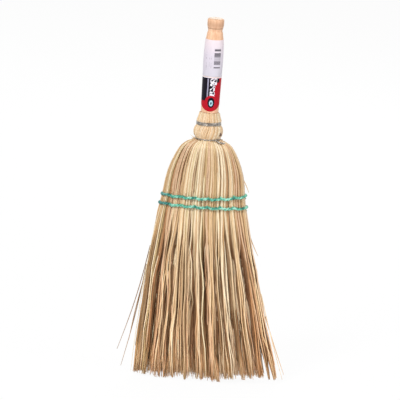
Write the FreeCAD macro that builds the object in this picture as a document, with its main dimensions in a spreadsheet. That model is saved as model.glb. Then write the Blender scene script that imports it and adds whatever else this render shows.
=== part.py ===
"""Short-handled straw broom: a turned wooden handle with a fan of bound and stitched straw.

Lengths are millimetres. The origin is on the flat sweep end, below the handle's axis.
+Z runs up the handle, the fan is widest along X, and -Y is the front with the labels.
"""
import FreeCAD, Part
import math
import os
import Sketcher

Vector = FreeCAD.Vector

SIZES = {
    # whole broom
    "broom_height": 490.0,
    # handle, measured down from its top
    "knob_radius": 11.2,
    "knob_edge_radius": 3.0,
    "knob_land": 9.5,
    "knob_foot_radius": 10.4,
    "knob_foot_drop": 13.0,
    "waist_radius": 9.5,
    "waist_drop": 17.0,
    "bead_radius": 10.7,
    "bead_drop": 20.0,
    "bead_foot_radius": 10.9,
    "bead_foot_drop": 23.0,
    "barrel_top_radius": 11.9,
    "barrel_top_drop": 28.0,
    "belly_radius": 12.95,
    "belly_drop": 60.0,
    "barrel_curve_radius": 319.0,
    "collar_wall": 3.7,
    # tang, the hidden taper inside the straw
    "tang_shoulder_drop": 17.0,
    "tang_end_radius": 3.0,
    "tang_depth": 88.0,
    # labels round the handle
    "label_thickness": 0.25,
    "upper_label_top_drop": 28.1,
    "upper_label_height": 49.9,
    "label_gap": 0.6,
    "lower_label_height": 46.5,
    "lower_label_overhang": 2.5,
    # neck of the straw
    "collar_height": 362.0,
    "collar_lip_radius": 13.2,
    "collar_foot_radius": 16.9,
    "band_radius": 15.5,
    "band_lip": 0.6,
    "neck_lip_radius": 17.1,
    "bulge_curve_radius": 12.2,
    "neck_root_height": 312.0,
    # binding wires
    "wire_diameter": 1.5,
    "wire_gap": 0.05,
    "wire_clearance": 0.1,
    "top_band_height": 347.5,
    "top_band_turns": 3,
    "low_band_height": 326.5,
    "low_band_turns": 2,
    "core_band_height": 337.0,
    "core_band_turns": 2,
    "tail_diameter": 2.6,
    "tail_length": 12.5,
    "tail_angle": 56.0,
    "tail_heading": 64.0,
    "tail_slope": 20.0,
    # nails that hold the wire to the handle
    "nail_height": 334.0,
    "nail_angle": 60.0,
    "nail_shank_diameter": 1.8,
    "nail_head_diameter": 4.2,
    "nail_head_thickness": 1.1,
    "nail_seat_radius": 18.9,
    "nail_point_radius": 5.0,
    # layers of straw round the tang, under the binding wires
    "outer_layer_thickness": 2.7,
    "core_layer_thickness": 2.4,
    "root_lip_width": 1.9,
    "root_lip_depth": 1.8,
    "core_flare": 0.1,
    "core_flattening": 2.3,
    "core_top_height": 356.0,
    "core_foot_height": 296.0,
    # where the front and back layers meet the shoulders
    "split_top_half_width": 9.0,
    "split_sweep_half_width": 52.0,
    # sewing cord
    "cord_diameter": 3.2,
    "cord_standoff": 0.35,
    "stitch_diameter": 2.2,
    "stitch_gap": 0.1,
    "stitch_slack": 0.35,
    "stitch_spacing": 18.0,
    "stitches_per_row": 6,
    "knot_radius": 3.4,
    "knot_clearance": 0.12,
    # stray stems
    "stem_root_radius": 0.8,
    "stem_tip_radius": 0.4,
    "stem_clearance": 0.3,
}

# the fan's cross sections: name, height, half width, half depth, sideways shift
FAN_SECTIONS = [
    ("sweep", 0.0, 100.0, 31.0, 18.5),
    ("fringe", 80.0, 85.5, 29.0, 9.3),
    ("skirt", 151.0, 72.8, 26.0, 3.0),
    ("below_rows", 212.0, 62.0, 23.0, 0.5),
    ("lower_row", 236.0, 57.4, 22.0, 0.0),
    ("upper_row", 250.0, 55.0, 22.0, 0.0),
    ("breast", 277.0, 50.5, 23.5, 0.0),
    ("shoulder", 302.0, 41.5, 24.0, 0.0),
    ("shoulder_top", 315.0, 33.5, 22.5, 0.0),
    ("root", 321.0, 25.0, 19.5, 0.0),
    ("root_top", 323.5, "=band_radius + root_lip_width", "=band_radius + root_lip_depth", 0.0),
]

# the core's cross sections inside the fan, as above
CORE_SECTIONS = [
    ("core_sweep", 0.0, 46.0, 13.0, 18.5),
    ("core_middle", 151.0, 34.0, 11.5, 3.0),
    ("core_rows", 243.0, 26.0, 11.0, 0.0),
    ("core_root", 306.0, "=band_radius - outer_layer_thickness + core_flare",
     "=band_radius - outer_layer_thickness - core_flattening", 0.0),
]

# sizes that follow from others: the handle's foot fits inside the bound straw
DERIVED = {"barrel_foot_radius": "=band_radius - collar_wall"}

# stray stems: root height, side of the fan, tip height, how far the tip stands off the fan, tip's y
STRAY_STEMS = [
    (168.0, -1, 33.0, 20.5, -5.0),
    (146.0, -1, 9.0, 12.2, 4.0),
    (118.0, 1, 6.0, 3.5, -3.0),
    (196.0, 1, 172.0, 4.8, -2.0),
]

# the core's radius in the neck: what the wires leave once the outer layer is on
CORE_NECK = "(sizes.band_radius - sizes.outer_layer_thickness)"

doc = FreeCAD.newDocument("straw_broom")
sheet = doc.addObject("Spreadsheet::Sheet", "sizes")


def fill_sheet():
    """Write every size once, with its name as the alias."""
    rows = dict(SIZES)
    for name, height, half_width, half_depth, shift in FAN_SECTIONS + CORE_SECTIONS:
        rows[name + "_level"] = height
        rows[name + "_half_width"] = half_width
        rows[name + "_half_depth"] = half_depth
        rows[name + "_shift"] = shift
    rows.update(DERIVED)
    for index, (alias, value) in enumerate(rows.items(), start=1):
        sheet.set("A%d" % index, alias)
        sheet.set("B%d" % index, str(value))
        sheet.setAlias("B%d" % index, alias)
    doc.recompute()


def size(alias):
    return float(sheet.get(alias))


def total(*terms):
    """Add up aliases and numbers. Returns the expression's text and its value."""
    text = ""
    value = 0.0
    for term in terms:
        if isinstance(term, str):
            sign = -1 if term.startswith("-") else 1
            alias = term.lstrip("-")
            text += (" - " if sign < 0 else " + ") + "sizes." + alias
            value += sign * size(alias)
        else:
            text += " + (%r)" % term
            value += term
    return "0" + text, value


def bind(item, **expressions):
    """Bind properties to expressions: Radius="sizes.knob_radius"."""
    for name, text in expressions.items():
        item.setExpression(name, text)


def place(item, x=None, y=None, z=None, rotation=None):
    """Turn an object and bind its position to the sheet."""
    if rotation is not None:
        item.Placement = FreeCAD.Placement(Vector(0, 0, 0), rotation)
    for axis, text in (("x", x), ("y", y), ("z", z)):
        if text is not None:
            item.setExpression("Placement.Base." + axis, text)


def combine(kind, label, shapes=None, base=None, tool=None):
    """Make a Part boolean or compound and name it."""
    item = doc.addObject("Part::" + kind, label)
    item.Label = label
    if kind == "Compound":
        item.Links = shapes
    elif shapes is not None:
        item.Shapes = shapes
    else:
        item.Base = base
        item.Tool = tool
    return item


def turned_body(label, corners, arcs):
    """Revolve a profile in the XZ plane about Z.

    corners holds (x, z) pairs made by total(). arcs maps a corner's index to the terms of the
    radius of the arc that bulges outwards from it to the next corner.
    """
    body = doc.addObject("PartDesign::Body", label)
    body.Label = label
    sketch = body.newObject("Sketcher::SketchObject", label + "_profile")
    plane = next(f for f in body.Origin.OriginFeatures if f.Role == "XZ_Plane")
    sketch.AttachmentSupport = (plane, [""])
    sketch.MapMode = "FlatFace"
    count = len(corners)
    points = [Vector(x[1], z[1], 0) for x, z in corners]
    ends = []
    for index in range(count):
        start, finish = points[index], points[(index + 1) % count]
        if index in arcs:
            radius = total(*arcs[index])[1]
            chord = finish - start
            half = chord.Length / 2
            normal = Vector(chord.y, -chord.x, 0).normalize()
            sagitta = radius - math.sqrt(radius * radius - half * half)
            middle = (start + finish) * 0.5 + normal * sagitta
            geometry = sketch.addGeometry(Part.Arc(start, middle, finish), False)
            forward = (sketch.getPoint(geometry, 1) - start).Length < 1e-6
            ends.append((geometry, 1, 2) if forward else (geometry, 2, 1))
        else:
            geometry = sketch.addGeometry(Part.LineSegment(start, finish), False)
            ends.append((geometry, 1, 2))
    for index in range(count):
        following = ends[(index + 1) % count]
        sketch.addConstraint(Sketcher.Constraint(
            "Coincident", ends[index][0], ends[index][2], following[0], following[1]))
    for index, (x, z) in enumerate(corners):
        geometry, first = ends[index][:2]
        for kind, (text, value) in (("DistanceX", x), ("DistanceY", z)):
            number = sketch.addConstraint(Sketcher.Constraint(kind, -1, 1, geometry, first, value))
            sketch.setExpression("Constraints[%d]" % number, text)
    for index, terms in arcs.items():
        text, value = total(*terms)
        number = sketch.addConstraint(Sketcher.Constraint("Radius", ends[index][0], value))
        sketch.setExpression("Constraints[%d]" % number, text)
    turning = body.newObject("PartDesign::Revolution", label + "_turning")
    turning.Profile = sketch
    turning.ReferenceAxis = (sketch, ["V_Axis"])
    turning.Angle = 360.0
    return body


def elliptical_loft(label, sections):
    """Loft through level elliptical sections, widest along X, with its seam on the left edge."""
    half_turn = FreeCAD.Rotation(Vector(0, 0, 1), 180)
    rings = []
    for name, *_ in sections:
        ring = doc.addObject("Part::Ellipse", name + "_ring")
        ring.MajorRadius = size(name + "_half_width")
        bind(ring, MajorRadius="sizes.%s_half_width" % name, MinorRadius="sizes.%s_half_depth" % name)
        place(ring, x="sizes.%s_shift" % name, z="sizes.%s_level" % name, rotation=half_turn)
        rings.append(ring)
    loft = doc.addObject("Part::Loft", label)
    loft.Label = label
    loft.Sections = rings
    loft.Solid = True
    loft.Ruled = True
    return loft


def make_handle_turning():
    """Knob, waist, bead, barrel and the tang that goes down into the straw."""
    top = "broom_height"
    corners = [
        (total(), total("collar_height", "-tang_depth")),
        (total("tang_end_radius"), total("collar_height", "-tang_depth")),
        (total("band_radius", "-outer_layer_thickness", "-core_layer_thickness"),
         total("collar_height", "-tang_shoulder_drop")),
        (total("barrel_foot_radius"), total("collar_height")),
        (total("belly_radius"), total(top, "-belly_drop")),
        (total("barrel_top_radius"), total(top, "-barrel_top_drop")),
        (total("bead_foot_radius"), total(top, "-bead_foot_drop")),
        (total("bead_radius"), total(top, "-bead_drop")),
        (total("waist_radius"), total(top, "-waist_drop")),
        (total("knob_foot_radius"), total(top, "-knob_foot_drop")),
        (total("knob_radius"), total(top, "-knob_land")),
        (total("knob_radius"), total(top, "-knob_edge_radius")),
        (total("knob_radius", "-knob_edge_radius"), total(top)),
        (total(), total(top)),
    ]
    return turned_body("handle_turning", corners, {
        4: ("barrel_curve_radius",),
        11: ("knob_edge_radius",),
    })


def make_label_form():
    """The barrel's surface, one label's thickness out."""
    thick = "label_thickness"
    corners = [
        (total(), total("collar_height")),
        (total("barrel_foot_radius", thick), total("collar_height")),
        (total("belly_radius", thick), total("broom_height", "-belly_drop")),
        (total("barrel_top_radius", thick), total("broom_height", "-barrel_top_drop")),
        (total(), total("broom_height", "-barrel_top_drop")),
    ]
    return turned_body("label_form", corners, {2: ("barrel_curve_radius", thick)})


def make_upper_label(form, turning):
    """A paper label wrapped right round the handle."""
    reach = doc.addObject("Part::Cylinder", "upper_label_reach")
    bind(reach, Radius="sizes.belly_radius * 2", Height="sizes.upper_label_height")
    place(reach, z="sizes.broom_height - sizes.upper_label_top_drop - sizes.upper_label_height")
    sleeve = combine("Common", "upper_label_sleeve", base=form, tool=reach)
    return combine("Cut", "upper_label", base=sleeve, tool=turning)


def make_lower_label(form, turning):
    """A label over the front of the handle, with a round lower end."""
    top = ("sizes.broom_height - sizes.upper_label_top_drop - sizes.upper_label_height"
           " - sizes.label_gap")
    round_centre = top + " - sizes.lower_label_height + sizes.belly_radius"
    panel = doc.addObject("Part::Box", "lower_label_panel")
    bind(panel, Length="sizes.belly_radius * 4", Width="sizes.belly_radius * 2",
         Height="sizes.lower_label_height - sizes.belly_radius")
    place(panel, x="-sizes.belly_radius * 2", z=round_centre,
          y="sizes.lower_label_overhang - sizes.belly_radius * 2")
    end = doc.addObject("Part::Cylinder", "lower_label_end")
    bind(end, Radius="sizes.belly_radius", Height="sizes.belly_radius * 2")
    place(end, y="sizes.lower_label_overhang", z=round_centre,
          rotation=FreeCAD.Rotation(Vector(1, 0, 0), 90))
    outline = combine("MultiFuse", "lower_label_outline", shapes=[panel, end])
    patch = combine("Common", "lower_label_patch", base=form, tool=outline)
    return combine("Cut", "lower_label", base=patch, tool=turning)


def make_wire_nails():
    """Two nails, one each side, that pin the binding to the handle."""
    pieces = []
    for side, turn in (("front", 0.0), ("back", 180.0)):
        rotation = FreeCAD.Rotation(Vector(0, 0, 1), turn + size("nail_angle") - 90.0)
        rotation = rotation.multiply(FreeCAD.Rotation(Vector(0, 1, 0), 90.0))
        outward = rotation.multVec(Vector(0, 0, 1))
        shank = doc.addObject("Part::Cylinder", side + "_nail_shank")
        bind(shank, Radius="sizes.nail_shank_diameter / 2",
             Height="sizes.nail_seat_radius - sizes.nail_point_radius")
        head = doc.addObject("Part::Cylinder", side + "_nail_head")
        bind(head, Radius="sizes.nail_head_diameter / 2", Height="sizes.nail_head_thickness")
        for item, radius in ((shank, "nail_point_radius"), (head, "nail_seat_radius")):
            place(item, x="sizes.%s * (%r)" % (radius, outward.x),
                  y="sizes.%s * (%r)" % (radius, outward.y), z="sizes.nail_height",
                  rotation=rotation)
            pieces.append(item)
    return combine("MultiFuse", "wire_nails", shapes=pieces)


def make_binding_wire(label, turns, seat_radius, height, tail=False):
    """Turns of wire laid side by side, joined where the wire steps from turn to turn."""
    ring_radius = "(%s + sizes.wire_clearance + sizes.wire_diameter / 2)" % seat_radius
    pitch = "(sizes.wire_diameter + sizes.wire_gap)"
    count = int(size(turns))
    pieces = []
    for index in range(count):
        ring = doc.addObject("Part::Torus", "%s_turn_%d" % (label, index + 1))
        bind(ring, Radius1=ring_radius, Radius2="sizes.wire_diameter / 2")
        place(ring, z="sizes.%s + (%r) * %s" % (height, index - (count - 1) / 2, pitch))
        pieces.append(ring)
    step = doc.addObject("Part::Cylinder", label + "_step")
    bind(step, Radius="sizes.wire_diameter * 0.4", Height="%s * %d" % (pitch, count - 1))
    place(step, y="-" + ring_radius, z="sizes.%s - %s * %r" % (height, pitch, (count - 1) / 2))
    pieces.append(step)
    if tail:
        angle = math.radians(size("tail_angle"))
        heading = math.radians(size("tail_heading"))
        slope = math.radians(size("tail_slope"))
        outward = Vector(math.sin(heading), -math.cos(heading), -math.tan(slope))
        twist = doc.addObject("Part::Cylinder", label + "_tail")
        bind(twist, Radius="sizes.tail_diameter / 2", Height="sizes.tail_length")
        place(twist, x="%s * %r" % (ring_radius, math.sin(angle)),
              y="-%s * %r" % (ring_radius, math.cos(angle)), z="sizes." + height,
              rotation=FreeCAD.Rotation(Vector(0, 0, 1), outward))
        pieces.append(twist)
    return combine("MultiFuse", label, shapes=pieces)


def row_radius(row, axis):
    """The cord's centre line round one row: its half width or half depth."""
    return "(sizes.%s_half_%s + sizes.cord_diameter / 2 + sizes.cord_standoff)" % (row, axis)


def make_cord_wrap(label, row):
    """The cord laid round the fan along one row."""
    path = doc.addObject("Part::Ellipse", label + "_path")
    path.MajorRadius = size(row + "_half_width")
    bind(path, MajorRadius=row_radius(row, "width"), MinorRadius=row_radius(row, "depth"))
    place(path, x="sizes.%s_shift" % row, z="sizes.%s_level" % row)
    section = doc.addObject("Part::Circle", label + "_section")
    bind(section, Radius="sizes.cord_diameter / 2")
    place(section, x="sizes.%s_shift + %s" % (row, row_radius(row, "width")),
          z="sizes.%s_level" % row, rotation=FreeCAD.Rotation(Vector(1, 0, 0), 90))
    wrap = doc.addObject("Part::Sweep", label)
    wrap.Label = label
    wrap.Sections = [section]
    wrap.Spine = (path, ["Edge1"])
    wrap.Solid = True
    wrap.Frenet = False
    return wrap


def make_stitches(label, row):
    """Loops of cord through the fan, each over the wrap at the front and at the back."""
    loop_radius = "(sizes.cord_diameter / 2 + sizes.stitch_diameter / 2 + sizes.stitch_gap)"
    along_y = FreeCAD.Rotation(Vector(1, 0, 0), -90)
    count = int(size("stitches_per_row"))
    pieces = []
    for index in range(count):
        across = "(sizes.stitch_spacing * (%r))" % (index - (count - 1) / 2)
        reach = "(%s * sqrt(1 - %s ^ 2 / %s ^ 2) + sizes.stitch_slack)" % (
            row_radius(row, "depth"), across, row_radius(row, "width"))
        x = "sizes.%s_shift + %s" % (row, across)
        z = "sizes.%s_level" % row
        for way, sign in (("over", "+"), ("under", "-")):
            run = doc.addObject("Part::Cylinder", "%s_%d_%s" % (label, index + 1, way))
            bind(run, Radius="sizes.stitch_diameter / 2", Height="2 * " + reach)
            place(run, x=x, y="-" + reach, z="%s %s %s" % (z, sign, loop_radius), rotation=along_y)
            pieces.append(run)
        for side, sign in (("front", -1), ("back", 1)):
            bend = doc.addObject("Part::Torus", "%s_%d_%s" % (label, index + 1, side))
            bind(bend, Radius1=loop_radius, Radius2="sizes.stitch_diameter / 2")
            bend.Angle3 = 180.0
            turned = FreeCAD.Rotation(Vector(0, 0, -sign), Vector(0, sign, 0), Vector(1, 0, 0), "XYZ")
            place(bend, x=x, y="%d * %s" % (sign, reach), z=z, rotation=turned)
            pieces.append(bend)
    return combine("MultiFuse", label, shapes=pieces)


def make_knot(label, row):
    """The knot that ties off a row at the fan's right edge, bored along the cord's own bend."""
    end = "sizes.%s_shift + %s" % (row, row_radius(row, "width"))
    bend = "(%s ^ 2 / %s)" % (row_radius(row, "depth"), row_radius(row, "width"))
    ball = doc.addObject("Part::Sphere", label + "_ball")
    bind(ball, Radius="sizes.knot_radius")
    place(ball, x=end, z="sizes.%s_level" % row)
    bore = doc.addObject("Part::Torus", label + "_bore")
    bind(bore, Radius1=bend, Radius2="sizes.cord_diameter / 2 + sizes.knot_clearance")
    place(bore, x="%s - %s" % (end, bend), z="sizes.%s_level" % row)
    return ball, combine("Cut", label, base=ball, tool=bore)


def make_zone(label, near, far):
    """A slab from y = near to y = far, narrow at the neck and wide at the sweep end."""
    zone = doc.addObject("Part::Wedge", label)
    zone.Zmin, zone.Zmax, zone.Z2min, zone.Z2max = near, far, near, far
    bind(zone, Xmin="-sizes.split_sweep_half_width + sizes.sweep_shift / 2",
         Xmax="sizes.split_sweep_half_width + sizes.sweep_shift / 2",
         Ymin="0", Ymax="sizes.collar_height",
         X2min="-sizes.split_top_half_width", X2max="sizes.split_top_half_width")
    zone.Placement = FreeCAD.Placement(Vector(0, 0, 0), FreeCAD.Rotation(Vector(1, 0, 0), 90))
    return zone


def make_straw(turning, hardware):
    """Split the straw into its core, its front and back layers and its two shoulders."""
    low, high = "low_band_height", "top_band_height"
    pitch = size("wire_diameter") + size("wire_gap")
    high_half = size("top_band_turns") * pitch / 2 + size("wire_clearance")
    low_half = size("low_band_turns") * pitch / 2 + size("wire_clearance")
    neck = turned_body("neck_form", [
        (total(), total("neck_root_height")),
        (total("band_radius"), total("neck_root_height")),
        (total("band_radius"), total(low, low_half)),
        (total("neck_lip_radius"), total(low, low_half, "band_lip")),
        (total("neck_lip_radius"), total(high, -high_half, "-band_lip")),
        (total("band_radius"), total(high, -high_half)),
        (total("band_radius"), total(high, high_half)),
        (total("collar_foot_radius"), total(high, high_half, "band_lip")),
        (total("collar_lip_radius"), total("collar_height")),
        (total(), total("collar_height")),
    ], {3: ("bulge_curve_radius",)})
    fan = elliptical_loft("fan_form", FAN_SECTIONS)
    straw = combine("MultiFuse", "straw_form", shapes=[neck, fan])

    core_neck = doc.addObject("Part::Cylinder", "core_neck")
    bind(core_neck, Radius=CORE_NECK,
         Height="sizes.core_top_height - sizes.core_foot_height")
    place(core_neck, z="sizes.core_foot_height")
    core_fan = elliptical_loft("core_fan", CORE_SECTIONS)
    core = combine("MultiFuse", "core_form", shapes=[core_neck, core_fan])

    seat_outer = doc.addObject("Part::Cylinder", "core_seat_outer")
    seat_inner = doc.addObject("Part::Cylinder", "core_seat_inner")
    for item, radius in ((seat_outer, CORE_NECK + " + 1"), (seat_inner, core_seat_radius())):
        bind(item, Radius=radius,
             Height="sizes.core_band_turns * (sizes.wire_diameter + sizes.wire_gap)"
                    " + 2 * sizes.wire_clearance")
        place(item, z="sizes.core_band_height - sizes.core_band_turns"
                      " * (sizes.wire_diameter + sizes.wire_gap) / 2 - sizes.wire_clearance")
    seat = combine("Cut", "core_wire_seat", base=seat_outer, tool=seat_inner)

    core_tools = combine("Compound", "core_tools", shapes=[turning, seat] + hardware)
    core_straw = combine("Cut", "core_straw", base=core, tool=core_tools)
    layer_tools = combine("Compound", "layer_tools", shapes=[turning, core] + hardware)
    deep = size("sweep_half_depth") * 2
    zones = {"front": make_zone("front_zone", 0.0, deep), "back": make_zone("back_zone", -deep, 0.0)}
    middle_zone = make_zone("middle_zone", -deep, deep)
    for side, start in (("left", "-sizes.sweep_half_width * 2"), ("right", "0")):
        half = doc.addObject("Part::Box", side + "_half")
        bind(half, Length="sizes.sweep_half_width * 2", Width="sizes.sweep_half_depth * 4",
             Height="sizes.broom_height")
        place(half, x=start, y="-sizes.sweep_half_depth * 2")
        zones[side + "_shoulder"] = combine("Cut", side + "_zone", base=half, tool=middle_zone)
    layers = []
    for name, zone in zones.items():
        block = combine("Common", name + "_block", base=straw, tool=zone)
        layers.append(combine("Cut", name + "_straw", base=block, tool=layer_tools))
    return [core_straw] + layers


def core_seat_radius():
    """The core's radius under its wire, so that the wire stays inside the core's outline."""
    return "(%s - sizes.wire_diameter - 2 * sizes.wire_clearance)" % CORE_NECK


def fan_edge(height):
    """The fan's half width and shift at a height, on straight lines between its sections."""
    for lower, upper in zip(FAN_SECTIONS, FAN_SECTIONS[1:]):
        low, high = size(lower[0] + "_level"), size(upper[0] + "_level")
        if low <= height <= high:
            part = (height - low) / (high - low)
            return tuple(
                size(lower[0] + kind) * (1 - part) + size(upper[0] + kind) * part
                for kind in ("_half_width", "_shift"))
    raise ValueError("height %s is outside the fan" % height)


def make_stray_stems():
    """Single stems that stand out from the fan's edges."""
    stems = []
    clear = size("stem_clearance") + size("stem_root_radius") * 1.3
    for index, (root_height, side, tip_height, stand_off, tip_y) in enumerate(STRAY_STEMS, start=1):
        half_width, shift = fan_edge(root_height)
        root = Vector(shift + side * (half_width + clear), 0, root_height)
        half_width, shift = fan_edge(tip_height)
        tip = Vector(shift + side * (half_width + stand_off), tip_y, tip_height)
        stem = doc.addObject("Part::Cone", "stray_stem_%d" % index)
        bind(stem, Radius1="sizes.stem_root_radius", Radius2="sizes.stem_tip_radius")
        stem.Height = (tip - root).Length
        stem.Placement = FreeCAD.Placement(root, FreeCAD.Rotation(Vector(0, 0, 1), tip - root))
        stems.append(stem)
    return combine("Compound", "stray_stems", shapes=stems)


def build():
    """Build every sub-part and return them."""
    fill_sheet()
    turning = make_handle_turning()
    label_form = make_label_form()
    nails = make_wire_nails()
    handle = combine("Cut", "handle", base=turning, tool=nails)
    upper_label = make_upper_label(label_form, turning)
    lower_label = make_lower_label(label_form, turning)
    top_wire = make_binding_wire("top_binding_wire", "top_band_turns", "sizes.band_radius",
                                 "top_band_height")
    low_wire = make_binding_wire("lower_binding_wire", "low_band_turns", "sizes.band_radius",
                                 "low_band_height", tail=True)
    core_wire = make_binding_wire("core_binding_wire", "core_band_turns", core_seat_radius(),
                                  "core_band_height")
    cords, balls = [], []
    for where in ("upper", "lower"):
        row = where + "_row"
        wrap = make_cord_wrap(where + "_cord_wrap", row)
        stitches = make_stitches(where + "_stitches", row)
        ball, knot = make_knot(where + "_cord_knot", row)
        cords += [wrap, stitches, knot]
        balls.append(ball)
    hardware = [nails, low_wire, cords[1], cords[4]] + balls
    straw = make_straw(turning, hardware)
    stems = make_stray_stems()
    return ([handle, upper_label, lower_label, top_wire, low_wire, core_wire, nails]
            + cords + straw + [stems])


parts = build()
doc.recompute()

faults = [item.Name for item in doc.Objects if {"Invalid", "Error"} & set(item.State)]
for item in parts:
    if item.Shape.isNull() or not item.Shape.isValid() or not item.Shape.Solids:
        faults.append(item.Label + " has no valid shape")
if faults:
    raise RuntimeError("these did not build: " + ", ".join(faults))

os.makedirs("parts", exist_ok=True)
for item in parts:
    item.Shape.exportStep("parts/%s.step" % item.Label)
    print("%-22s %2d solids %11.1f mm3" % (item.Label, len(item.Shape.Solids), item.Shape.Volume))
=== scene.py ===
# %% [markdown]
# # A short-handled straw broom
# The object is a hand broom: a turned wooden handle, straw bound on with galvanised wire, and two
# rows of green cord sewn through the fan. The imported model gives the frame, so every size and
# place below is read from its parts. Blender adds what a solid can't show: thousands of single
# stems, twisted cord, wound wire, wood grain and printed paper.

# %% Load the frame
import math

import bpy
import numpy as np
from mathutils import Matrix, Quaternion, Vector


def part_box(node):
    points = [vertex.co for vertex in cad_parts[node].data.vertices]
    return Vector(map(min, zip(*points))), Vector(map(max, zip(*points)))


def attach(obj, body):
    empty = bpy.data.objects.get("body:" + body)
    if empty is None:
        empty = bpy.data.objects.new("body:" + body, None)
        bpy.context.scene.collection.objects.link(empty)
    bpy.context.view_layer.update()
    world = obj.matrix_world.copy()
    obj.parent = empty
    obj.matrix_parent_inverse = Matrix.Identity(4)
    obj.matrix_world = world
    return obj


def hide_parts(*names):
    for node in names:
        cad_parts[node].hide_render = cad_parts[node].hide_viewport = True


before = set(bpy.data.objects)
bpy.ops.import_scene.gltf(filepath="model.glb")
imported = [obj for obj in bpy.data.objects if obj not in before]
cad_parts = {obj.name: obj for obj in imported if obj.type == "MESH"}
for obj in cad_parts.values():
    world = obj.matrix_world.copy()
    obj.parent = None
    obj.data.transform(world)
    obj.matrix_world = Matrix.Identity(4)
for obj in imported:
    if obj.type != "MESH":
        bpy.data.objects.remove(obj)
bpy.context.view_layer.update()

MM = 0.001
ROOT = "root"
rng = np.random.default_rng(20)

# %% [markdown]
# ## Small helpers
# Operators act on whatever is selected, so each new piece starts from an empty selection. A
# finished piece rides on the broom's one body, takes its material and stands for its CAD part.

# %% Helpers for pieces


def add_object(name, data):
    thing = bpy.data.objects.new(name, data)
    bpy.context.scene.collection.objects.link(thing)
    return thing


def clear_selection():
    if bpy.context.object and bpy.context.object.mode != "OBJECT":
        bpy.ops.object.mode_set(mode="OBJECT")
    bpy.ops.object.select_all(action="DESELECT")


def finish_piece(piece, name, material, slot, *nodes):
    """Name a piece, give it its material and tie it to the frame."""
    piece.name = name
    piece.data.name = name
    piece.data.materials.clear()
    piece.data.materials.append(material)
    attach(piece, ROOT)
    if nodes:
        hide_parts(*nodes)
    print(name, len(piece.data.polygons), "faces")


# %% Helpers for node materials


class Nodes:
    """A short way to add linked nodes to a tree."""

    def __init__(self, tree):
        self.tree = tree

    def add(self, kind, inputs=None, **settings):
        node = self.tree.nodes.new("ShaderNode" + kind)
        for name, value in settings.items():
            setattr(node, name, value)
        for name, value in (inputs or {}).items():
            if isinstance(value, bpy.types.NodeSocket):
                self.link(value, node.inputs[name])
            else:
                node.inputs[name].default_value = value
        return node

    def link(self, output, socket):
        self.tree.links.new(output, socket)

    def math(self, operation, a, b=0.0, c=0.0, clamp=False):
        return self.add("Math", {0: a, 1: b, 2: c}, operation=operation, use_clamp=clamp).outputs[0]

    def times(self, a, b):
        return self.math("MULTIPLY", a, b)

    def mix(self, factor, a, b, blend="MIX"):
        node = self.add("Mix", {0: factor, 6: a, 7: b}, data_type="RGBA", blend_type=blend)
        return node.outputs[2]

    def ramp(self, value, *stops):
        node = self.add("ValToRGB", {0: value})
        elements = node.color_ramp.elements
        while len(elements) < len(stops):
            elements.new(0.5)
        for element, (position, colour) in zip(elements, stops):
            element.position = position
            element.color = colour
        return node.outputs[0]

    def span(self, value, start, end, low=0.0, high=1.0, **settings):
        """low where a value is at start, high where it is at end."""
        return self.add("MapRange", {0: value, 1: start, 2: end, 3: low, 4: high}, **settings).outputs[0]

    def place(self):
        """A point's place on the broom."""
        return self.add("TexCoord").outputs["Object"]

    def split(self, vector):
        return self.add("SeparateXYZ", {0: vector}).outputs

    def join(self, *values):
        return self.add("CombineXYZ", dict(enumerate(values))).outputs[0]

    def noise(self, place, scale, detail):
        return self.add("TexNoise", {"Vector": place, "Scale": scale, "Detail": detail}).outputs["Fac"]

    def seen(self):
        """1 where a ray comes from the camera, straight, mirrored or through glass."""
        path = self.add("LightPath").outputs
        bent = self.math("MAXIMUM", path["Is Glossy Ray"], path["Is Transmission Ray"])
        return self.math("MAXIMUM", path["Is Camera Ray"], bent)


class Material(Nodes):
    """A material with one Principled shader."""

    def __init__(self, name, **values):
        self.data = bpy.data.materials.new(name)
        self.data.use_nodes = True
        super().__init__(self.data.node_tree)
        self.shader = self.tree.nodes["Principled BSDF"]
        for socket, value in values.items():
            self.shader.inputs[socket.replace("_", " ")].default_value = value

    def finish(self, colour, relief=None, strength=0.0, depth=0.0):
        """Link the colour and, where a relief is given, a bump. Returns the finished material."""
        self.link(colour, self.shader.inputs["Base Color"])
        if relief is not None:
            bump = self.add("Bump", {"Strength": strength, "Distance": depth, "Height": relief})
            self.link(bump.outputs[0], self.shader.inputs["Normal"])
        return self.data


def rgb(red, green, blue):
    """A colour as it looks on screen, from 0 to 255, in the linear values that nodes use."""
    shown = [value / 255 for value in (red, green, blue)]
    return (*(((v + 0.055) / 1.055) ** 2.4 if v > 0.04 else v / 12.92 for v in shown), 1.0)


# %% [markdown]
# ## The camera
# The broom is seen from a little above through a long lens, and it leans to the right. Rolling
# the camera gives that lean and leaves the broom itself upright on its straw.

# %% Camera
CAMERA_DISTANCE = 20.0
CAMERA_ELEVATION = math.radians(10.0)
CAMERA_ROLL = math.radians(4.0)
FRAME_WIDTH = 0.536
SENSOR_WIDTH = 36.0
AIM = Vector((-4.6 * MM, 0, 242.1 * MM))


def make_camera():
    data = bpy.data.cameras.new("camera")
    data.sensor_width = SENSOR_WIDTH
    data.lens = SENSOR_WIDTH * CAMERA_DISTANCE / FRAME_WIDTH
    camera = add_object("camera", data)
    back = Vector((0, -math.cos(CAMERA_ELEVATION), math.sin(CAMERA_ELEVATION)))
    camera.rotation_mode = "QUATERNION"
    camera.location = AIM + back * CAMERA_DISTANCE
    level = (-back).to_track_quat("-Z", "Y")
    camera.rotation_quaternion = level @ Quaternion((0, 0, 1), CAMERA_ROLL)
    bpy.context.scene.camera = camera
    return camera


camera = make_camera()
print("camera lens", round(camera.data.lens, 1), "mm")

# %% [markdown]
# ## The fan's shape
# The straw spreads from a round neck to a wide flat sweep end. The CAD parts hold that outline as
# level ellipses, so their half width, half depth and sideways shift are measured from the parts'
# own points and joined by smooth curves. A stem then only needs its place round the perimeter,
# its depth under the surface and its height.

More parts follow.
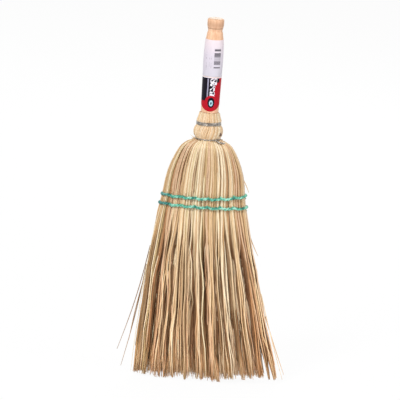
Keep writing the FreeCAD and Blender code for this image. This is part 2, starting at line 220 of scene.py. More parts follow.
# %% Measure the fan
FAN_NODES = ("front_straw", "back_straw", "left_shoulder_straw", "right_shoulder_straw")
FAN_LEVELS = np.array([0, 80, 151, 212, 236, 250, 277, 302, 315, 321, 323.5]) * MM
LEVEL_BAND = 0.02 * MM


def node_points(*names):
    clouds = []
    for name in names:
        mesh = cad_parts[name].data
        flat = np.zeros(len(mesh.vertices) * 3, np.float32)
        mesh.vertices.foreach_get("co", flat)
        clouds.append(flat.reshape(-1, 3))
    return np.concatenate(clouds).astype(float)


def measure_fan():
    """Half width, half depth and sideways shift at each level that the CAD fan is built on."""
    points = node_points(*FAN_NODES)
    rows = []
    for level in FAN_LEVELS:
        ring = points[np.abs(points[:, 2] - level) < LEVEL_BAND]
        low, high = ring.min(axis=0), ring.max(axis=0)
        rows.append(((high[0] - low[0]) / 2, (high[1] - low[1]) / 2, (high[0] + low[0]) / 2))
    return np.array(rows)


def smooth_curve(at, levels, values):
    """A curve through measured values that never swings past them."""
    slopes = np.diff(values) / np.diff(levels)
    inner = np.where(slopes[1:] * slopes[:-1] > 0,
                     2 * slopes[1:] * slopes[:-1] / (slopes[1:] + slopes[:-1] + 1e-12), 0)
    tangents = np.concatenate([slopes[:1], inner, slopes[-1:]])
    at = np.clip(at, levels[0], levels[-1])
    index = np.clip(np.searchsorted(levels, at, side="right") - 1, 0, len(levels) - 2)
    width = levels[index + 1] - levels[index]
    part = (at - levels[index]) / width
    start, end = values[index], values[index + 1]
    return ((1 + 2 * part) * (1 - part) ** 2 * start + part * (1 - part) ** 2 * width * tangents[index]
            + part ** 2 * (3 - 2 * part) * end + part ** 2 * (part - 1) * width * tangents[index + 1])


fan_rows = measure_fan()
print("fan half widths (mm):", np.round(fan_rows[:, 0] * 1000, 1))

# %% [markdown]
# Stems are spread by equal steps round the perimeter. On a flat ellipse that isn't the same as
# equal angles, so a table of the angle for each share of the perimeter is made for a few ratios
# of depth to width, and stems read it.

# %% Points on the fan
RATIOS = np.linspace(0.2, 1.0, 33)
SHARES = np.linspace(0, 1, 361)


def angle_table():
    table = []
    angles = np.linspace(0, 2 * math.pi, 1441)
    for ratio in RATIOS:
        steps = np.hypot(np.diff(np.cos(angles)), ratio * np.diff(np.sin(angles)))
        run = np.concatenate([[0], np.cumsum(steps)])
        table.append(np.interp(SHARES, run / run[-1], angles))
    return np.array(table)


ANGLES = angle_table()


def perimeter_angle(share, ratio):
    """The ellipse's angle at a share of its perimeter, counted from the right edge."""
    share = share % 1.0
    row = np.clip((ratio - RATIOS[0]) / (RATIOS[1] - RATIOS[0]), 0, len(RATIOS) - 1.001)
    low = row.astype(int)
    place = share * (len(SHARES) - 1)
    left = np.minimum(place.astype(int), len(SHARES) - 2)
    along, across = place - left, row - low
    near = ANGLES[low, left] * (1 - along) + ANGLES[low, left + 1] * along
    far = ANGLES[low + 1, left] * (1 - along) + ANGLES[low + 1, left + 1] * along
    return near * (1 - across) + far * across


def fan_size(height):
    """Half width, half depth and shift. The stems stand a little proud, most just under the wire."""
    half_width, half_depth, shift = (smooth_curve(height, FAN_LEVELS, fan_rows[:, column])
                                     for column in range(3))
    proud = 1.025 + 0.15 * np.exp(-(FAN_LEVELS[-1] - np.minimum(height, FAN_LEVELS[-1])) / (3.5 * MM))
    fuller = 1 * MM * np.exp(-((height - 0.125) / 0.045) ** 2)
    return half_width * proud + fuller, half_depth, shift + fuller


def fan_point(share, depth, height, scale=1.0):
    """Places on the fan, a depth under its surface. The arguments may be arrays of one shape."""
    half_width, half_depth, shift = fan_size(height)
    angle = perimeter_angle(share, half_depth / half_width)
    return np.stack([shift + (half_width * scale - depth) * np.cos(angle),
                     (half_depth * scale - depth) * np.sin(angle), height], axis=-1)


print("angle table", ANGLES.shape)

# %% [markdown]
# ## One stem, copied thousands of times
# A stem is a thin tube of four or five sides with a few rings, so that it can bend. It is modelled
# once, as a cylinder cut into even lengths, and each copy's rings are then moved to that stem's
# own centre line. A stem also carries a UV strip of its own and three values for its material:
# its tone, how much light reaches it and how red or green it is.

# %% The stem that is copied


def face_places(points, rings):
    """A face's UV places: how far along the stem each corner is, and how far round."""
    turns = np.arctan2(points[:, 1], points[:, 0]) / (2 * math.pi) % 1.0
    if len(points) == 4 and turns.max() - turns.min() > 0.5:
        turns = np.where(turns < 0.5, turns + 1, turns)
    ends = points[:, 2] / (rings - 1)
    if np.ptp(ends) < 0.5 / rings:
        ends = ends + np.where(ends < 0.5, -0.02, 0.02) * np.sin(turns * 2 * math.pi)
    return np.stack([ends * 0.94 + 0.03, turns], axis=1)


class Stem:
    """A unit tube with evenly spaced rings, modelled once and held as arrays to be copied."""

    def __init__(self, sides, rings):
        clear_selection()
        bpy.ops.mesh.primitive_cylinder_add(vertices=sides, radius=1, depth=rings - 1,
                                            location=(0, 0, (rings - 1) / 2))
        tube = bpy.context.object
        bpy.ops.object.mode_set(mode="EDIT")
        for level in range(1, rings - 1):
            bpy.ops.mesh.select_all(action="SELECT")
            bpy.ops.mesh.bisect(plane_co=(0, 0, level), plane_no=(0, 0, 1))
        bpy.ops.object.mode_set(mode="OBJECT")
        points = np.array([tube.matrix_world @ v.co for v in tube.data.vertices])
        faces = [list(face.vertices) for face in tube.data.polygons]
        self.ring_of = np.round(points[:, 2]).astype(int)
        self.around = points[:, :2]
        self.sizes = np.array([len(face) for face in faces])
        self.corners = np.concatenate(faces)
        self.places = np.concatenate([face_places(points[face], rings) for face in faces])
        bpy.data.objects.remove(tube)


def stem_shapes(stem, centres, radii):
    """Points of every copy: rings square to each stem's own centre line."""
    along = np.gradient(centres, axis=1)
    along /= np.linalg.norm(along, axis=2, keepdims=True) + 1e-12
    side = np.cross(along, np.array([0.0, 1.0, 0.0]))
    side /= np.linalg.norm(side, axis=2, keepdims=True) + 1e-12
    other = np.cross(side, along)
    ring = stem.ring_of
    return (centres[:, ring] + radii[:, ring, None] * (
        stem.around[None, :, :1] * side[:, ring] - stem.around[None, :, 1:] * other[:, ring]))


STRIPS_ACROSS = 4


def strip_places(stem, count):
    """UV places that give each copy a strip of its own on one sheet."""
    rows = math.ceil(count / STRIPS_ACROSS)
    index = np.arange(count)
    column, row = index % STRIPS_ACROSS, index // STRIPS_ACROSS
    u = (column[:, None] + stem.places[None, :, 0]) / STRIPS_ACROSS
    v = (row[:, None] + 0.08 + 0.84 * stem.places[None, :, 1] / 1.2) / rows
    return np.stack([u, v], axis=-1).reshape(-1, 2)


def set_looks(mesh, looks):
    """Store each point's tone, shade and hue for the straw's material."""
    values = mesh.attributes.new("stem", "FLOAT_VECTOR", "POINT").data
    values.foreach_set("vector", looks.astype(np.float32).ravel())


def stem_piece(batches):
    """Join batches of stems, each (template, centres, radii, looks), into one mesh."""
    points, corners, sizes, places, data = [], [], [], [], []
    offset = 0
    total = sum(len(batch[1]) for batch in batches)
    done = 0
    for stem, centres, radii, looks in batches:
        shapes = stem_shapes(stem, centres, radii)
        count, each = shapes.shape[:2]
        points.append(shapes.reshape(-1, 3))
        corners.append((np.arange(count)[:, None] * each + stem.corners[None] + offset).ravel())
        sizes.append(np.tile(stem.sizes, count))
        strips = strip_places(stem, count)
        strips[:, 1] = (strips[:, 1] * count + done) / total
        places.append(strips)
        data.append(looks[:, stem.ring_of].reshape(-1, 3))
        offset += count * each
        done += count
    points, corners, sizes = map(np.concatenate, (points, corners, sizes))
    mesh = bpy.data.meshes.new("stems")
    mesh.vertices.add(len(points))
    mesh.vertices.foreach_set("co", points.astype(np.float32).ravel())
    mesh.loops.add(len(corners))
    mesh.loops.foreach_set("vertex_index", corners)
    mesh.polygons.add(len(sizes))
    mesh.polygons.foreach_set("loop_start", np.concatenate([[0], np.cumsum(sizes)[:-1]]))
    mesh.update(calc_edges=True)
    mesh.validate()
    mesh.shade_smooth()
    mesh.uv_layers.new(name="OFBake").uv.foreach_set(
        "vector", np.concatenate(places).astype(np.float32).ravel())
    set_looks(mesh, np.concatenate(data))
    return add_object("stems", mesh)


print("stem helpers ready")

# %% [markdown]
# ## Materials
# Each finish is built from nodes. Dry straw is the main one: every stem has its own tone, from
# brown to cream, and a few are reddish or green. Painted shade darkens the stems that lie deep,
# painted light makes the upper fan a little darker and the sweep end lighter, and the lower ends
# turn warmer with use.

# %% A shared effect: fine streaks along a fibre


def build_fibre_group():
    """Streaks drawn out along Z, for straw and wood: gives a mask from 0 to 1."""
    group = bpy.data.node_groups.new("fibre_streaks", "ShaderNodeTree")
    for name in ("Fineness", "Stretch"):
        group.interface.new_socket(name, in_out="INPUT", socket_type="NodeSocketFloat")
    group.interface.new_socket("Streaks", in_out="OUTPUT", socket_type="NodeSocketFloat")
    nodes = Nodes(group)
    fineness, stretch = nodes.tree.nodes.new("NodeGroupInput").outputs[:2]
    stretched = nodes.add("VectorMath", {0: nodes.place(), 1: nodes.join(fineness, fineness, stretch)},
                          operation="MULTIPLY").outputs[0]
    noise = nodes.add("TexNoise", {"Vector": stretched, "Scale": 1.0, "Detail": 4.0, "Roughness": 0.6})
    nodes.link(noise.outputs["Fac"], nodes.tree.nodes.new("NodeGroupOutput").inputs[0])
    return group


fibre_group = build_fibre_group()


def fibre_streaks(nodes, fineness, stretch):
    node = nodes.add("Group", node_tree=fibre_group)
    node.inputs["Fineness"].default_value = fineness
    node.inputs["Stretch"].default_value = stretch
    return node.outputs["Streaks"]


# %% Straw


def build_straw(name, dark):
    """Dry straw. dark is how much of a stem's colour is lost to painted shade where it lies deep."""
    nodes = Material(name, Roughness=0.5, Specular_IOR_Level=0.4)
    tone, shade, hue = nodes.split(nodes.add("Attribute", attribute_name="stem").outputs["Vector"])
    height = nodes.split(nodes.place())["Z"]
    colour = nodes.ramp(tone, (0.0, rgb(140, 108, 74)), (0.25, rgb(204, 168, 122)),
                        (0.6, rgb(236, 204, 160)), (1.0, rgb(254, 238, 208)))
    red = nodes.math("MULTIPLY_ADD", hue, 5.0, -3.9, clamp=True)
    green = nodes.math("MULTIPLY_ADD", hue, -9.0, 1.0, clamp=True)
    colour = nodes.mix(nodes.times(red, 0.5), colour, rgb(196, 124, 80))
    colour = nodes.mix(nodes.times(green, 0.35), colour, rgb(190, 186, 128))
    wear = nodes.span(height, 0.17, 0.0, 0.0, 0.42)
    worn = nodes.times(wear, nodes.math("MULTIPLY_ADD", hue, 1.3, -0.1, clamp=True))
    colour = nodes.mix(worn, colour, rgb(236, 176, 122))
    streaks = fibre_streaks(nodes, 1400.0, 28.0)
    lines = nodes.ramp(streaks, (0.25, (0.66, 0.6, 0.52, 1)), (0.62, (1, 1, 1, 1)))
    # buried is painted shade: the colour turns darker and browner as a stem's shade value falls
    left = 1 - dark
    buried = nodes.ramp(shade, (0.0, (left, left * 0.62, left * 0.36, 1)),
                        (0.5, (1 - dark * 0.27, 1 - dark * 0.37, 1 - dark * 0.49, 1)),
                        (1.0, (1, 1, 1, 1)))
    # Painted light by height: colour lifted up to 1.16 towards the sweep end, 0.88 in the upper fan, 0.93
    # at the neck
    neck = nodes.math("MINIMUM", nodes.math("MULTIPLY_ADD", height, 30.0, -8.6), 0.93)
    height_light = nodes.math("MAXIMUM", nodes.span(height, 0.28, 0.09, 0.88, 1.16), neck)
    for layer in (lines, buried, nodes.join(height_light, height_light, height_light)):
        colour = nodes.mix(1.0, colour, layer, "MULTIPLY")
    return nodes.finish(colour, streaks, 0.35, 0.3 * MM)


straw = build_straw("dry_straw", 0.8)
# The inner straw is the same straw with a little more painted shade.
shaded_inner_straw = build_straw("shaded_inner_straw", 0.85)
print("straw materials ready")

# %% [markdown]
# ## The straw of the fan
# A broom maker ties the straw in clumps, so the stems don't lie evenly. Near the wire the clumps
# are round ridges; towards the sweep end they draw apart, sink by different amounts and lean
# their own way, which opens gaps that are dark from their depth and from painted shade. Stems start
# at the wire, and finer branches join them lower down, so the wide end stays full. The sewn rows
# pinch everything in.

# %% How the straw lies
CORD_BOXES = [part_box(row + "_cord_wrap") for row in ("upper", "lower")]
ROW_HEIGHTS = [(low.z + high.z) / 2 for low, high in CORD_BOXES]
PINCH_DEPTH = 0.8 * MM
PINCH_SPAN = 4.5 * MM
FAN_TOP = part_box("lower_binding_wire")[1].z - 3 * MM
BRANCH_DIVE = 2.6 * MM  # how deep the upper end of a branch lies
SPREAD_FROM, SPREAD_TO = 0.25, 0.13  # heights where the clumps begin to draw apart and are apart
NECK_SHARE = 0.25  # how much a stem may sway above that, as a share of its sway below
GAP_WIDTH = 0.0055  # as a share of the perimeter
GAP_DEPTH = 7 * MM
BROKEN_SHARE = 0.1
# partings near the right end: where each is at 60 mm and at 10 mm height, and how wide it opens
PARTINGS = ((0.0895, 0.101, 3.4 * MM), (0.0985, 0.1075, 2.4 * MM))

CLUMPS = 34
clump_place = (np.arange(CLUMPS) + rng.uniform(-0.4, 0.4, CLUMPS)) / CLUMPS
clump_sink = rng.uniform(0, 1, CLUMPS) ** 2 * 1.6 * MM
clump_lean = rng.normal(0, 2.2 * MM, CLUMPS)
clump_tone = rng.normal(0, 0.05, CLUMPS)

BUNDLES = 118
bundle_place = (np.arange(BUNDLES) + rng.uniform(-0.4, 0.4, BUNDLES)) / BUNDLES
bundle_sink = np.maximum(rng.uniform(-3.4, 1, BUNDLES), 0) * 6.0 * MM
bundle_end = np.maximum(rng.exponential(5.0 * MM, BUNDLES) - 2.4 * MM, 0)
bundle_tone = rng.normal(0, 0.06, BUNDLES)
bundle_hue = rng.uniform(0, 1, BUNDLES)
bundle_drift = rng.normal(0, 2.6 * MM, BUNDLES)


def waves(count, lengths, size):
    """Lengths, phases and sizes of one wave for each of a number of stems or bundles."""
    return rng.uniform(*lengths, count), rng.uniform(0, 6.28, count), rng.normal(0, size, count)


bundle_waves = [waves(BUNDLES, (0.045, 0.08), 0.3 * MM), waves(BUNDLES, (0.09, 0.2), 0.9 * MM)]

# where the straw is reddish (near 1) or green (near 0): place round the fan, spread, tint
TINTED = ((0.577, 0.018, 0.96), (0.55, 0.012, 0.04), (0.93, 0.016, 0.93), (0.968, 0.007, 0.97),
          (0.77, 0.005, 0.96), (0.70, 0.004, 0.96), (0.80, 0.01, 0.9))
# the deepest gaps, where stems sink further and so take more painted shade: place round the fan, upper and
# lower end
GAPS = ((0.758, 0.175, 0.085), (0.834, 0.165, 0.04), (0.655, 0.19, 0.08), (0.60, 0.20, 0.155),
        (0.865, 0.085, 0.03), (0.885, 0.15, 0.09), (0.70, 0.12, 0.02), (0.79, 0.10, 0.03),
        (0.63, 0.09, 0.03), (0.925, 0.17, 0.12), (0.12, 0.17, 0.06), (0.2, 0.15, 0.05),
        (0.29, 0.18, 0.08), (0.36, 0.14, 0.04), (0.43, 0.16, 0.07))


def ease(value, start, end):
    """0 before start, 1 after end and smooth between. start may be above end."""
    part = np.clip((value - start) / (end - start), 0, 1)
    return part * part * (3 - 2 * part)


def pinch(height):
    return sum(np.exp(-((height - row) / PINCH_SPAN) ** 2) for row in ROW_HEIGHTS) * PINCH_DEPTH


def nearest(share, places):
    """For each stem, the nearest of some places round the perimeter, and the way to it."""
    gap = (share[:, None] - places[None] + 0.5) % 1.0 - 0.5
    best = np.abs(gap).argmin(axis=1)
    return best, -gap[np.arange(len(share)), best]


def sway(height, length, phase, size):
    """A gentle wave along each stem."""
    return np.sin(height * 2 * math.pi / length[:, None] + phase[:, None]) * size[:, None]


def part_stems(centres):
    """Open the partings: the stems at both sides of one draw apart towards the floor."""
    x, z = centres[..., 0], centres[..., 2]
    for high_x, low_x, opening in PARTINGS:
        line = low_x + (high_x - low_x) * (z - 10 * MM) / (50 * MM)
        side = np.where(x[:, -1:] > line[:, -1:], 1.0, -1.0)
        push = np.maximum(opening - np.abs(x - line) * 0.3, 0) * ease(z, 0.085, 0.02)
        x = x + side * push
    centres[..., 0] = x
    return centres


def lay_stems(share, depth, start, end, run, radius, sink, scale=1.0, dive=BRANCH_DIVE):
    """Centre lines, radii and looks of a batch of stems that run down the fan."""
    count = len(share)
    height = start[:, None] + (end - start)[:, None] * run[None]
    bundle, pull = nearest(share, bundle_place)
    clump, clump_way = nearest(bundle_place[bundle], clump_place)
    open_up = ease(height, SPREAD_FROM, SPREAD_TO)
    loose = NECK_SHARE + open_up
    perimeter = 2 * math.pi * np.sqrt((fan_size(height)[0] ** 2 + fan_size(height)[1] ** 2) / 2)
    astray = rng.normal(0, 1, count) * rng.choice([0.8, 4.5], count, p=[0.85, 0.15]) * MM
    drift = astray + bundle_drift[bundle]
    sideways = (drift[:, None] * ease(height, 0.235, -0.03) + clump_lean[clump][:, None] * open_up
                + (sum(sway(height, *(values[bundle] for values in wave)) for wave in bundle_waves)
                   + sway(height, *waves(count, (0.04, 0.1), 0.7 * MM))) * loose)
    gather = (pull[:, None] * 0.2 * open_up
              + clump_way[:, None] * (0.3 * open_up + 0.2 * ease(height, 0.05, 0.0)))
    place = share[:, None] + gather + sideways / perimeter
    edge = np.minimum(np.abs(pull) * BUNDLES * 2, 1.3)[:, None] ** 2
    valley = np.minimum(np.abs(clump_way) * CLUMPS * 2, 1.2)[:, None] ** 2
    ridge = (edge * (0.8 * MM + 0.4 * MM * open_up) + valley * 0.8 * MM) * ease(height, 0.325, 0.305)
    sunk = (clump_sink[clump] + bundle_sink[bundle] + sink)[:, None]
    for place_of, top, bottom in GAPS:
        across = np.exp(-((share % 1.0 - place_of) / GAP_WIDTH) ** 2)[:, None]
        under_top = ease(height, top + 12 * MM, top - 8 * MM)
        over_bottom = ease(height, bottom - 15 * MM, bottom + 10 * MM)
        sunk = sunk + GAP_DEPTH * across * under_top * over_bottom
    buried = (depth[:, None] + ridge + sunk * np.maximum(open_up, 0.15 * ease(height, 0.32, 0.3))
              + sway(height, *waves(count, (0.05, 0.12), 0.3 * MM)) * loose)
    under = buried + pinch(height) + dive * ease(height, start[:, None] - 22 * MM, start[:, None])
    centres = part_stems(fan_point(place, np.maximum(under, radius[:, None] * 0.8), height, scale))
    taper = np.interp(run, [0, 0.1, 0.45, 0.85, 1.0], [0.8, 1.05, 0.95, 0.72, 0.3])
    radii = radius[:, None] * taper[None] * rng.uniform(0.75, 1.25, (count, 1))
    # Stems that stay at the surface get a lighter tone: painted light.
    tone = rng.beta(2.2, 1.2, count) + clump_tone[clump] + bundle_tone[bundle] + 0.2 * (sink < 1 * MM)
    tone = np.clip(tone, 0, 1)[:, None] + 0 * height
    # shade is painted shade: 1 near the surface, less as a stem lies deeper, falling slower near the tips
    fade = (1.5 + 0.4 * ease(height, 0.2, 0.1) + 5.0 * ease(height, 0.055, 0.005)) * MM
    shade = np.exp(-np.maximum(buried - 1.5 * MM, 0) / fade)
    hue = np.where(rng.uniform(0, 1, count) < 0.2, bundle_hue[bundle], rng.uniform(0, 1, count))
    for place_of, spread, tint in TINTED:
        near = np.abs(share % 1.0 - place_of) < spread * rng.uniform(-0.6, 1.4, count)
        hue = np.where(near, tint + rng.uniform(-0.06, 0.06, count), hue)
    return centres, radii, np.stack([tone, shade, hue[:, None] + 0 * height], axis=-1)


def ragged_ends(share, scale=1.0):
    """Heights of the stems' tips: lowest in the middle, worn at both sides, a few broken off."""
    count = len(share)
    across = fan_point(share, 0.0, np.zeros(count))[:, 0] * scale
    ends = 0.4 * MM + rng.exponential(2.6 * MM, count) + 4 * MM * ease(across, 0.04, 0.1)
    ends += 2.5 * MM * ease(-across, 0.05, 0.09)
    bundle = nearest(share, bundle_place)[0]
    apart = np.abs(nearest(bundle_place[bundle], clump_place)[1]) * CLUMPS * 2
    ends += bundle_end[bundle] + 9 * MM * (1 - scale) + 17 * MM * np.minimum(apart, 1.1) ** 4
    broken = rng.uniform(0, 1, count) < BROKEN_SHARE
    return ends + broken * rng.uniform(4 * MM, 26 * MM, count)


def zone_of(share):
    """0 front, 1 back, 2 left, 3 right: the part of the perimeter that a stem starts on."""
    turn = (share % 1.0) * 360
    return np.select([(turn > 225) & (turn < 315), (turn > 45) & (turn < 135),
                      (turn >= 135) & (turn <= 225)], [0, 1, 2], 3)


# ring heights of the long stems, as drops from the wire in mm: close together where they flare
LONG_DROPS = np.array([0, 1.5, 3.5, 6.5, 10.5, 16.5, 24.5, 34.5, 46.5, 60, 74, 88, 106, 128, 152, 178,
                       206, 236, 266, 296, 324])
LONG_RUN = LONG_DROPS / LONG_DROPS[-1]
long_stem = Stem(5, len(LONG_RUN))
LAYERS = [
    # template, how many, start heights, radius, share that stays at the surface, run
    (long_stem, 260, (FAN_TOP - 1 * MM, FAN_TOP + 1 * MM), 1.1 * MM, 0.55, LONG_RUN),
    (Stem(5, 15), 620, (0.262, 0.318), 0.95 * MM, 0.1, np.linspace(0, 1, 15)),
    (Stem(4, 13), 1500, (0.15, 0.256), 0.78 * MM, 0.025, np.linspace(0, 1, 13)),
]


def stem_depths(count, stay):
    """Depth of each stem in the tight part, and how far it sinks lower down. Some stay on top."""
    on_top = rng.uniform(0, 1, count) < stay
    depth = np.where(on_top, rng.uniform(0.5, 1.4, count), rng.uniform(1.6, 3.2, count)) * MM
    sink = 1.8 * MM + np.minimum(rng.exponential(2.0 * MM, count), 8 * MM)
    stays = on_top & (rng.uniform(0, 1, count) < 0.64)
    return depth, np.where(stays, rng.uniform(-0.8 * MM, 0.9 * MM, count), sink)


outer_batches = {zone: [] for zone in range(4)}
for template, count, starts, radius, stay, run in LAYERS:
    share = (np.arange(count) + rng.uniform(-0.5, 0.5, count)) / count
    start = rng.uniform(*starts, count)
    depth, sink = stem_depths(count, stay)
    centres, radii, looks = lay_stems(share, depth, start, ragged_ends(share), run,
                                      np.full(count, radius), sink,
                                      dive=0.0 if template is long_stem else BRANCH_DIVE)
    zones = zone_of(share)
    for zone in range(4):
        chosen = zones == zone
        outer_batches[zone].append((template, centres[chosen], radii[chosen], looks[chosen]))

for zone, node in enumerate(FAN_NODES):
    finish_piece(stem_piece(outer_batches[zone]), node + "_stems", straw, "straw", node)

# %% The core of the fan
CORE_STEMS = 2600
CORE_RADIUS = 0.8 * MM
share = rng.uniform(0, 1, CORE_STEMS)
scale = np.sqrt(rng.uniform(0.02, 0.7, CORE_STEMS))[:, None]
core = lay_stems(share, np.zeros(CORE_STEMS), rng.uniform(0.18, 0.26, CORE_STEMS),
                 ragged_ends(share, scale[:, 0]), np.linspace(0, 1, 8), np.full(CORE_STEMS, CORE_RADIUS),
                 np.zeros(CORE_STEMS), scale=scale)
finish_piece(stem_piece([(Stem(4, 8), *core)]), "core_straw_stems", shaded_inner_straw, "straw",
             "core_straw", "core_binding_wire")


def build_shaded_packed_straw():
    """The tightly packed inside of the upper fan, a closed form just under the surface stems, in painted
    shade.
    """
    sides = 96
    levels = np.array([323, 321, 318, 312, 302, 285, 262, 243, 225, 200, 175, 150, 132]) * MM
    insets = np.array([2.6, 3.0, 3.2, 3.4, 3.6, 3.8, 4.2, 4.8, 6.0, 8.0, 11.0, 15.0, 20.0]) * MM
    rings = [fan_point(np.arange(sides) / sides, inset, np.full(sides, level))
             for level, inset in zip(levels, insets)]
    verts = np.concatenate(rings)
    faces = [(row * sides + i, row * sides + (i + 1) % sides, (row + 1) * sides + (i + 1) % sides,
              (row + 1) * sides + i) for row in range(len(levels) - 1) for i in range(sides)]
    faces += [tuple(range(sides)), tuple(range(len(verts) - 1, len(verts) - sides - 1, -1))]
    mesh = bpy.data.meshes.new("packed")
    mesh.from_pydata(verts.tolist(), [], faces)
    mesh.shade_smooth()
    # Painted shade: the darkest tone and a low shade value stand in for the shade inside the fan.
    set_looks(mesh, np.tile([0.15, 0.4, 0.5], (len(verts), 1)))
    return add_object("packed", mesh)


finish_piece(build_shaded_packed_straw(), "packed_straw", shaded_inner_straw, "straw")

# %% [markdown]
# ## The straw of the neck
# Above the fan the stalks are thick and lie side by side. They start at the collar, dip under the
# top wire, swell out in a bulge and go under the lower wire.

# %% Neck stalks
NECK_STALKS = 82
PLAIN_RINGS = 14
top_wire_box, low_wire_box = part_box("top_binding_wire"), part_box("lower_binding_wire")
TOP_WIRE = (top_wire_box[0].z + top_wire_box[1].z) / 2
LOW_WIRE = low_wire_box[1].z - 1.5 * MM
COLLAR_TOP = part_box("front_straw")[1].z
NECK_LEVELS = np.array([LOW_WIRE - 8 * MM, LOW_WIRE - 3 * MM, LOW_WIRE, LOW_WIRE + 3 * MM,
                        LOW_WIRE + 6 * MM, (LOW_WIRE + TOP_WIRE) / 2, TOP_WIRE - 6.4 * MM,
                        TOP_WIRE - 3.4 * MM, TOP_WIRE, TOP_WIRE + 3.4 * MM, TOP_WIRE + 8 * MM, COLLAR_TOP])
NECK_RADII = np.array([14.5, 15.6, 15.5, 17.2, 18.9, 19.5, 18.9, 16.9, 15.5, 16.7, 15.0, 13.4]) * MM


def neck_stalks(count, depth, radius, lean):
    share = (np.arange(count) + rng.uniform(-0.25, 0.25, count)) / count
    top = COLLAR_TOP + rng.normal(0, 0.5 * MM, count)
    height = top[:, None] + (NECK_LEVELS[0] - top)[:, None] * np.linspace(0, 1, PLAIN_RINGS)[None]
    out = smooth_curve(height, NECK_LEVELS, NECK_RADII) - radius - depth
    out += rng.normal(0, 0.25 * MM, (count, 1))
    turn = share[:, None] * 2 * math.pi + lean * ease(height, LOW_WIRE, TOP_WIRE)
    turn += rng.normal(0, 0.035, (count, 1)) * ease(height, LOW_WIRE - 4 * MM, TOP_WIRE)
    centres = np.stack([out * np.cos(turn), out * np.sin(turn), height], axis=-1)
    radii = np.full((count, PLAIN_RINGS), radius) * rng.uniform(0.8, 1.2, (count, 1))
    looks = np.stack([np.clip(rng.beta(5, 2.5, count) + 0.06, 0, 1), np.ones(count),
                      rng.uniform(0.78, 0.88, count)], axis=1)
    return plain_stem, centres, radii, np.repeat(looks[:, None], PLAIN_RINGS, axis=1)


plain_stem = Stem(5, PLAIN_RINGS)
neck_batches = [neck_stalks(NECK_STALKS, 0.0, 1.0 * MM, 0.22),
                neck_stalks(NECK_STALKS, 1.2 * MM, 0.85 * MM, 0.12)]
finish_piece(stem_piece(neck_batches), "neck_straw_stalks", straw, "straw")

# %% [markdown]
# ## The handle
# The handle is turned on a lathe, so it is a ring of points drawn up along its profile: each ring
# is extruded from the last, lifted and scaled to the CAD part's radius at that height.

# %% Wood
HANDLE_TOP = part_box("handle")[1].z
GROOVE = HANDLE_TOP - 13.2 * MM


def shade_band(nodes, level, reach, depth):
    """A soft level band of painted shade, such as the shade in a groove: depth at its middle, 0 at its
    edges.
    """
    away = nodes.math("ABSOLUTE", nodes.math("SUBTRACT", nodes.split(nodes.place())["Z"], level))
    return nodes.span(away, 0.0, reach, depth, 0.0, interpolation_type="SMOOTHSTEP")


def build_wood():
    nodes = Material("turned_wood", Roughness=0.5, Specular_IOR_Level=0.35)
    streaks = fibre_streaks(nodes, 420.0, 16.0)
    fine = fibre_streaks(nodes, 2400.0, 90.0)
    colour = nodes.ramp(streaks, (0.3, rgb(206, 158, 124)), (0.5, rgb(224, 180, 146)),
                        (0.72, rgb(236, 198, 166)))
    flecks = nodes.ramp(fine, (0.33, (0.78, 0.68, 0.58, 1)), (0.45, (1, 1, 1, 1)))
    colour = nodes.mix(0.7, colour, flecks, "MULTIPLY")
    up = nodes.split(nodes.add("NewGeometry").outputs["Normal"])["Z"]
    colour = nodes.mix(nodes.times(nodes.span(up, 0.75, 0.95), 0.6), colour, rgb(196, 178, 158))
    # Painted shade: a shadow line at the straw's top, a line in the knob's groove, a wider band over the
    # knob
    for level, reach, depth in ((COLLAR_TOP + 0.4 * MM, 0.9 * MM, 0.7), (GROOVE, 1.5 * MM, 0.55),
                                (GROOVE + 5 * MM, 8 * MM, 0.32)):
        colour = nodes.mix(shade_band(nodes, level, reach, depth), colour, rgb(120, 78, 56))
    return nodes.finish(colour, fine, 0.15, 0.3 * MM)


# %% Turn the handle
HANDLE_SIDES = 64
# how far each ring lies below the handle's top, in mm: close together where the shape turns
RING_DROPS = (0.2, 0.6, 1.2, 2.0, 3.0, 6.0, 9.0, 10.5, 12.0, 13.2, 14.4, 15.4, 16.2, 16.8, 17.2, 17.8,
              18.6, 19.6, 20.8, 22.4, 24.5, 27, 30, 35, 41, 47, 53, 59, 66, 76, 88, 100, 114, 127)


def handle_profile():
    """Heights from the collar up, and the CAD handle's radius at each."""
    points = node_points("handle")
    radius = np.hypot(points[:, 0], points[:, 1])
    outer = (points[:, 2] > COLLAR_TOP - 1 * MM) & (radius > 7 * MM)
    levels = np.unique(np.round(points[outer, 2], 5))
    return levels, [radius[outer & (np.abs(points[:, 2] - z) < 1e-5)].max() for z in levels]


profile_heights, profile_radii = handle_profile()


def handle_radius(height):
    return float(np.interp(height, profile_heights, profile_radii))


def turn_handle():
    clear_selection()
    radius, level = handle_radius(HANDLE_TOP) * 0.98, HANDLE_TOP
    bpy.ops.mesh.primitive_circle_add(vertices=HANDLE_SIDES, radius=radius, fill_type="NGON",
                                      location=(0, 0, level))
    handle = bpy.context.object
    bpy.ops.object.transform_apply(location=True)
    bpy.ops.object.mode_set(mode="EDIT")
    for station in [HANDLE_TOP - drop * MM for drop in RING_DROPS] + [COLLAR_TOP - 12 * MM]:
        target = handle_radius(max(station, COLLAR_TOP))
        bpy.ops.mesh.extrude_region_move(TRANSFORM_OT_translate={"value": (0, 0, station - level)})
        growth = target / radius
        bpy.ops.transform.resize(value=(growth, growth, 1), center_override=(0, 0, station))
        radius, level = target, station
    bpy.ops.mesh.select_all(action="SELECT")
    bpy.ops.mesh.normals_make_consistent(inside=False)
    bpy.ops.object.mode_set(mode="OBJECT")
    bpy.ops.object.shade_smooth_by_angle(angle=math.radians(40))
    return handle


wood = build_wood()
finish_piece(turn_handle(), "turned_handle", wood, "handle_wood", "handle")

# %% [markdown]
# ## Wire
# Galvanised wire holds the straw to the handle. Wire and cord both follow lines of points, and a
# bevelled curve turned into a mesh gives each its round section.

# %% Tubes along a line


